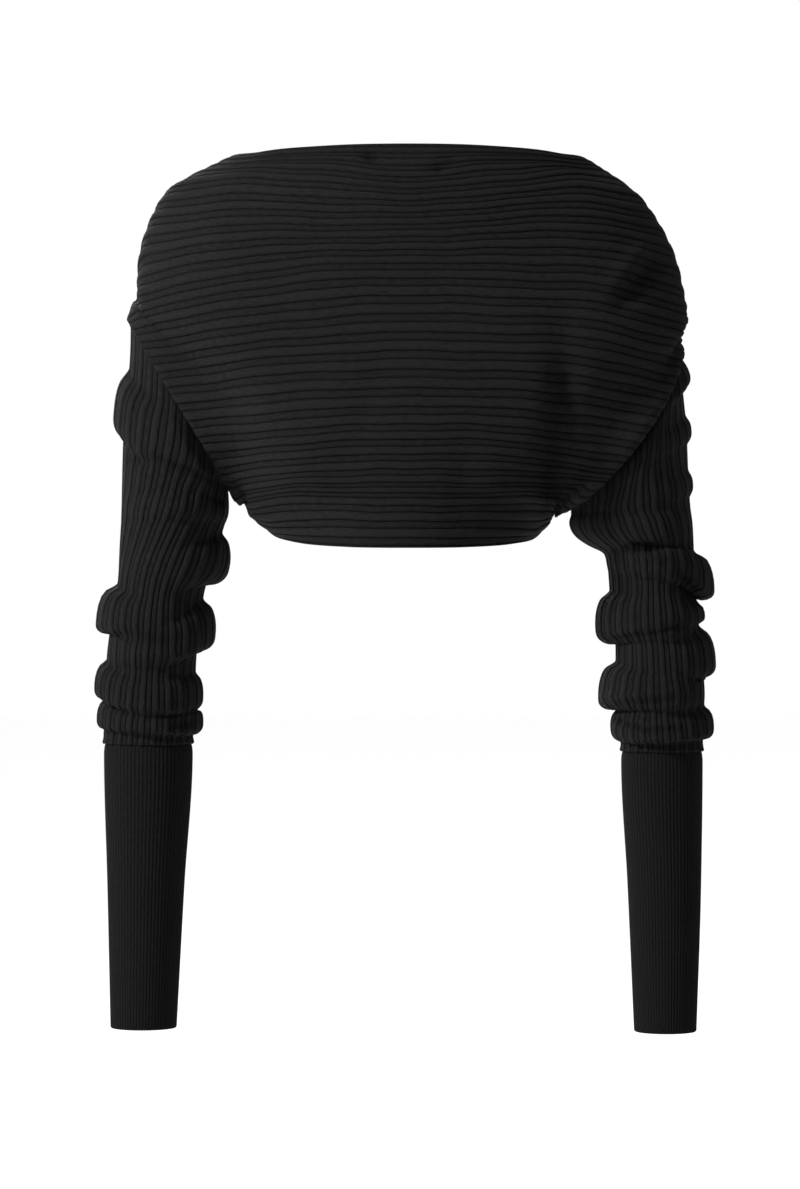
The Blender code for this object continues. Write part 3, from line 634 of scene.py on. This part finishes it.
def sleeve(name):
    """Outer and inner grids of a sleeve, with its stitch coordinates, painted shade and round."""
    armhole = ARMHOLES[name]
    places = profile_places(RIB_PROFILE, SLEEVE_REPEATS, 0.0)[:-1]
    shares = np.concatenate([[-1.0], np.linspace(0, 1, SLEEVE_RINGS)])
    share, place = np.meshgrid(shares, places, indexing="ij")
    base_angle = MEET_ANGLE + 2 * math.pi * place / SLEEVE_REPEATS
    seam_z = armhole_point(armhole, base_angle)[..., 2]
    z = seam_z + (SLEEVE_END[name] - seam_z) * np.clip(share, 0, 1)
    angle = base_angle + np.radians(read(LEANS[name], "z", "turn", z))
    base = sleeve_points(name, share, angle)
    base, light = dented(CREASES[name], base, grid_normals(base, closed=True) * -armhole.side)
    normals = grid_normals(base, closed=True) * -armhole.side
    height, shade = (across_rib(RIB_PROFILE, column, place) for column in ("height", "shade"))
    shadow = SEAM_SHADOW[name]
    below_seam = share * (seam_z - SLEEVE_END[name])
    round_seam = shadow.depth * np.maximum(np.sin(base_angle), SHADOW_ROUND)
    light = light * (1 - round_seam * (1 - smooth(below_seam / shadow.reach)))
    near_seam = 1 - (1 - SEAM_RELIEF) * (1 - smooth(share / (SEAM_EASE / 2)))
    outer = base + normals * ((height - 1) * SLEEVE_RELIEF * near_seam)[..., None]
    inner = base - normals * RIB_WALL
    steps = np.linalg.norm(np.diff(base, axis=0), axis=2)
    length = np.concatenate([np.zeros((1, base.shape[1])), np.cumsum(steps, axis=0)], axis=0)
    uv = np.stack([length, place / SLEEVE_REPEATS * SLEEVE_ROUND], axis=-1)
    # painted shade of the grooves, the creases and the seam, and the sleeves' painted shade overall
    return outer, inner, uv, shade * light * SLEEVE_PAINTED_SHADE, SLEEVE_ROUND


def cuff(name):
    """The same for a cuff."""
    armhole, rows = ARMHOLES[name], CUFFS[name]
    places = profile_places(CUFF_PROFILE, CUFF_REPEATS, 0.0)[:-1]
    heights = np.linspace(rows[0].z, rows[-1].z, CUFF_RINGS)
    z, place = np.meshgrid(heights, places, indexing="ij")
    angle = MEET_ANGLE + 2 * math.pi * place / CUFF_REPEATS
    base = tube_point(rows, armhole.side, z, angle)
    normals = grid_normals(base, closed=True) * -armhole.side
    height, shade = (across_rib(CUFF_PROFILE, column, place) for column in ("height", "shade"))
    outer = base + normals * ((height - 1) * CUFF_RELIEF)[..., None]
    inner = base - normals * CUFF_WALL
    uv = np.stack([rows[0].z - z, place / CUFF_REPEATS * CUFF_ROUND], axis=-1)
    return outer, inner, uv, shade, CUFF_ROUND


# ---------------------------------------------------------------- meshes
def rim(first, second, outward):
    """Row that rounds the edge between two rows of points, standing out by part of their distance."""
    gap = np.linalg.norm(second - first, axis=-1, keepdims=True)
    return (first + second) / 2 + outward * gap * RIM_BULGE


def side_edges(outer, inner, uv, index, base):
    """Rounded edges down the first and the last column of an open sheet: points, faces and their uv.

    `index` numbers the points already there, `base` is how many they are.
    """
    rows, columns = outer.shape[:2]
    total = len(index)
    points, faces, corners = [], [], []
    for column, inward in ((0, 1), (columns - 1, columns - 2)):
        first = column == 0
        out = unit(outer[:, column] - outer[:, inward])
        middle = base + rows * len(points) + np.arange(rows)
        points.append(rim(outer[:, column], inner[:, column], out))
        outer_row, inner_row = index[:rows, column], index[rows + 1:2 * rows + 1, column][::-1]
        side_uv = uv[:, column]
        strip_uv = np.stack([side_uv[:-1], side_uv[:-1], side_uv[1:], side_uv[1:]], axis=1)
        for p, q in ((outer_row, middle), (middle, inner_row)):
            strip = np.stack([p[:-1], q[:-1], q[1:], p[1:]], axis=-1)
            faces.append(strip if first else strip[:, ::-1])
            corners.append(strip_uv if first else strip_uv[:, ::-1])
        for row, rim_row, at_end in ((rows - 1, rows, True), (0, total - 1, False)):
            ring = [index[row, column], middle[row], index[2 * rows - row, column], index[rim_row, column]]
            faces.append(np.array([ring if first == at_end else ring[::-1]]))
            corners.append(np.repeat(uv[row, column][None, None], 4, axis=1))
    return points, faces, corners


def knit_object(name, outer, inner, uv, shade, width, flip, material):
    """One closed mesh: outer face, inner face and rounded edges. `width` is the round of a closed tube."""
    ends = unit(outer[-1] - outer[-2])
    starts = unit(outer[0] - outer[1])
    loop = np.concatenate([outer, rim(outer[-1], inner[-1], ends)[None], inner[::-1],
                           rim(outer[0], inner[0], starts)[None]])
    loop_uv = np.concatenate([uv, uv[-1:], uv[::-1], uv[:1]])
    loop_shade = np.concatenate([shade, shade[-1:], shade[::-1], shade[:1]])
    total, columns = loop.shape[:2]
    upper = np.arange(total * columns).reshape(total, columns)
    lower = np.roll(upper, -1, axis=0)
    points = loop.reshape(-1, 3)
    point_shade = loop_shade.reshape(-1)
    if width is not None:
        right_upper, right_lower = np.roll(upper, -1, axis=1), np.roll(lower, -1, axis=1)
        faces = np.stack([upper, lower, right_lower, right_upper], axis=-1).reshape(-1, 4)
        past_seam = np.zeros((total, columns, 4, 2))
        past_seam[:, -1, 2:, 1] = width
        corner_uv = loop_uv.reshape(-1, 2)[faces] + past_seam.reshape(-1, 4, 2)
    else:
        faces = np.stack([upper[:, :-1], lower[:, :-1], lower[:, 1:], upper[:, 1:]], axis=-1).reshape(-1, 4)
        corner_uv = loop_uv.reshape(-1, 2)[faces]
        side_points, side_faces, side_uv = side_edges(outer, inner, uv, upper, len(points))
        points = np.concatenate([points, *side_points])
        faces = np.concatenate([faces, *side_faces])
        corner_uv = np.concatenate([corner_uv, *side_uv])
        point_shade = np.concatenate([point_shade, shade[:, 0], shade[:, -1]])
    if flip:
        faces, corner_uv = faces[:, ::-1], corner_uv[:, ::-1]
    mesh = bpy.data.meshes.new(name)
    mesh.from_pydata(points.tolist(), [], faces.tolist())
    layer = mesh.uv_layers.new(name="knit")
    layer.data.foreach_set("uv", corner_uv.reshape(-1).astype(np.float32))
    attribute = mesh.attributes.new("shade", "FLOAT", "POINT")
    attribute.data.foreach_set("value", point_shade.astype(np.float32))
    mesh.polygons.foreach_set("use_smooth", np.ones(len(faces), bool))
    mesh.materials.append(material)
    piece = bpy.data.objects.new(name, mesh)
    bpy.context.scene.collection.objects.link(piece)
    return piece


# ---------------------------------------------------------------- materials
def knit_material(name, yarn):
    """Yarn in V stitches; the attribute `shade`, painted shade, says how much of its tone shows."""
    material = bpy.data.materials.new(name)
    material.use_nodes = True
    tree = material.node_tree
    nodes, links = tree.nodes, tree.links
    shader = nodes["Principled BSDF"]

    def math_node(operation, a, b=None):
        node = nodes.new("ShaderNodeMath")
        node.operation = operation
        for socket, value in zip(node.inputs, (a, b)):
            if isinstance(value, (int, float)):
                socket.default_value = value
            elif value is not None:
                links.new(value, socket)
        return node.outputs[0]

    def noise(place, scale, detail):
        node = nodes.new("ShaderNodeTexNoise")
        node.inputs["Scale"].default_value = scale
        node.inputs["Detail"].default_value = detail
        links.new(place, node.inputs["Vector"])
        return node.outputs[0]

    # `along` runs down the ribs and `over` across them, both in metres of cloth.
    uv = nodes.new("ShaderNodeUVMap")
    uv.uv_map = "knit"
    split = nodes.new("ShaderNodeSeparateXYZ")
    links.new(uv.outputs[0], split.inputs[0])
    along, over = split.outputs[0], split.outputs[1]

    # A V stitch: two legs to either side of a column's middle, both slanting up to it.
    column = math_node("DIVIDE", over, yarn.wale)
    centre = math_node("ABSOLUTE", math_node("SUBTRACT", math_node("FRACT", column), 0.5))
    leg = math_node("SINE", math_node("MULTIPLY", centre, 2 * math.pi))
    slant = math_node("ADD", math_node("DIVIDE", along, yarn.course),
                      math_node("MULTIPLY", centre, STITCH_SLANT))
    turn = math_node("SINE", math_node("MULTIPLY", math_node("FRACT", slant), math.pi))
    stitch = math_node("MULTIPLY", math_node("POWER", math_node("MAXIMUM", leg, 0.0), LEG_SHAPE),
                       math_node("POWER", math_node("MAXIMUM", turn, 0.0), TURN_SHAPE))

    # Its tone, with painted shade between the stitches, the yarn's streaks and some large soft patches.
    coords = nodes.new("ShaderNodeTexCoord")
    streak = nodes.new("ShaderNodeCombineXYZ")
    links.new(math_node("DIVIDE", along, GRAIN_LONG * yarn.course), streak.inputs[0])
    links.new(math_node("DIVIDE", over, GRAIN_WIDE * yarn.wale), streak.inputs[1])
    grain = math_node("MULTIPLY", noise(streak.outputs[0], scale=1.0, detail=2.0), GRAIN_TONE)
    shade = math_node("ADD", math_node("MULTIPLY", stitch, STITCH_PAINTED_SHADE),
                      math_node("ADD", grain, GRAIN_BASE))
    patches = noise(coords.outputs["Object"], scale=CLOUD_SCALE, detail=3.0)
    cloud = math_node("MULTIPLY", patches, CLOUD_TONE)
    # painted shade of the grooves, hollows, creases and seam, from the attribute `shade`
    depth = nodes.new("ShaderNodeAttribute")
    depth.attribute_name = "shade"
    deep = math_node("MULTIPLY", shade, depth.outputs["Fac"])
    total = math_node("MULTIPLY", deep, math_node("ADD", cloud, CLOUD_BASE))
    mix = nodes.new("ShaderNodeMix")
    mix.data_type = "RGBA"
    mix.inputs["A"].default_value = (0, 0, 0, 1)
    mix.inputs["B"].default_value = (yarn.tone, yarn.tone, yarn.tone, 1)
    links.new(total, mix.inputs["Factor"])
    links.new(mix.outputs["Result"], shader.inputs["Base Color"])

    # Its relief, with loose fibres.
    fuzz = noise(coords.outputs["Object"], scale=FUZZ_SCALE, detail=2.0)
    height = math_node("ADD", stitch, math_node("MULTIPLY", fuzz, FUZZ_HEIGHT))
    bump = nodes.new("ShaderNodeBump")
    bump.inputs["Distance"].default_value = yarn.bump
    bump.inputs["Strength"].default_value = 1.0
    links.new(height, bump.inputs["Height"])
    links.new(bump.outputs[0], shader.inputs["Normal"])
    shader.inputs["Roughness"].default_value = 0.82
    shader.inputs["Specular IOR Level"].default_value = 0.02
    shader.inputs["Sheen Weight"].default_value = 0.004
    shader.inputs["Sheen Roughness"].default_value = 0.45
    shader.inputs["Sheen Tint"].default_value = (0.75, 0.8, 0.9, 1)
    return material


def plain_material(name, colour, roughness):
    material = bpy.data.materials.new(name)
    material.use_nodes = True
    shader = material.node_tree.nodes["Principled BSDF"]
    shader.inputs["Base Color"].default_value = (*colour, 1)
    shader.inputs["Roughness"].default_value = roughness
    return material


# ---------------------------------------------------------------- stage
def area_light(light):
    """A round lamp that shines at its target."""
    data = bpy.data.lights.new(light.name, "AREA")
    data.shape = "DISK"
    data.size = light.size
    data.energy = light.power
    lamp = bpy.data.objects.new(light.name, data)
    lamp.location = light.at
    aim = Vector(light.target) - Vector(light.at)
    lamp.rotation_mode = "QUATERNION"
    lamp.rotation_quaternion = aim.to_track_quat("-Z", "Y")
    bpy.context.scene.collection.objects.link(lamp)


def build_stage():
    """Camera, white surroundings, a paper floor and the lamps."""
    scene = bpy.context.scene
    data = bpy.data.cameras.new("camera")
    data.lens = LENS
    data.sensor_width = SENSOR
    camera = bpy.data.objects.new("camera", data)
    camera.location = CAMERA_AT
    camera.rotation_euler = (math.pi / 2, 0, 0)
    scene.collection.objects.link(camera)
    scene.camera = camera
    scene.view_settings.view_transform = "Standard"
    world = bpy.data.worlds.new("studio")
    world.use_nodes = True
    background = world.node_tree.nodes["Background"]
    background.inputs["Color"].default_value = (1, 1, 1, 1)
    background.inputs["Strength"].default_value = 1.0
    scene.world = world
    bpy.ops.mesh.primitive_plane_add(size=FLOOR_SIZE, location=(0, 0, FLOOR_Z))
    floor = bpy.context.object
    floor.name = "floor"
    floor.data.materials.append(plain_material("floor_paper", PAPER, PAPER_ROUGHNESS))
    for light in LIGHTS:
        area_light(light)


# ---------------------------------------------------------------- pieces
def dress(piece, node):
    """Put a piece in place of its CAD node."""
    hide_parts(node)
    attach(piece, "root")


build_stage()
rib_knit = knit_material("rib_knit", RIB_YARN)
cuff_knit = knit_material("cuff_knit", CUFF_YARN)
outer, inner, uv, shade = body_panel()
body = knit_object("knit_body", outer, inner, uv, shade, None, False, rib_knit)
dress(body, "body_panel")
for name, armhole in ARMHOLES.items():
    outer, inner, uv, shade, width = sleeve(name)
    tube = knit_object(f"knit_sleeve_{name}", outer, inner, uv, shade, width, armhole.side > 0, rib_knit)
    dress(tube, f"sleeve_{name}")
    outer, inner, uv, shade, width = cuff(name)
    tube = knit_object(f"knit_cuff_{name}", outer, inner, uv, shade, width, armhole.side > 0, cuff_knit)
    dress(tube, f"cuff_{name}")
